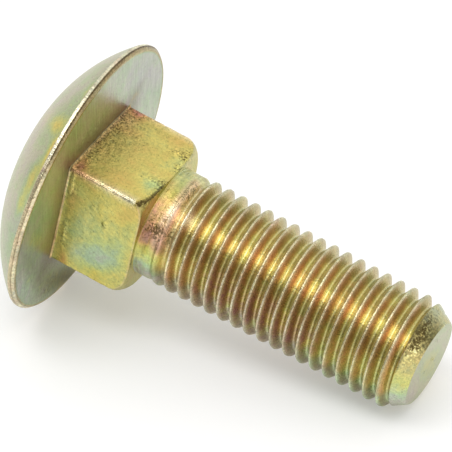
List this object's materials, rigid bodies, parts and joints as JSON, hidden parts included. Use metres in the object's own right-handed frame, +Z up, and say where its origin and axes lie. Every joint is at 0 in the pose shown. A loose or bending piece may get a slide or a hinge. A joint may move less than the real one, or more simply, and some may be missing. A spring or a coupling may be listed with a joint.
{
  "type": "bolt",
  "caption": "Carriage bolt with a low mushroom head, a square neck under it and a coarse metric thread on a short shank, in yellow-passivated zinc plate.",
  "frame": {"origin": "on the level surface the bolt lies on, under the centre of its bounding box", "axes": "+Z up; +X from the head towards the tip, seen from above; +Y across the bolt"},
  "size_m": [0.061, 0.0386, 0.0379],
  "materials": {
    "plated_steel": "zinc plated, yellow passivated, satin to bright"
  },
  "bodies": {
    "root": {"bolt": "plated_steel"}
  },
  "joints": []
}
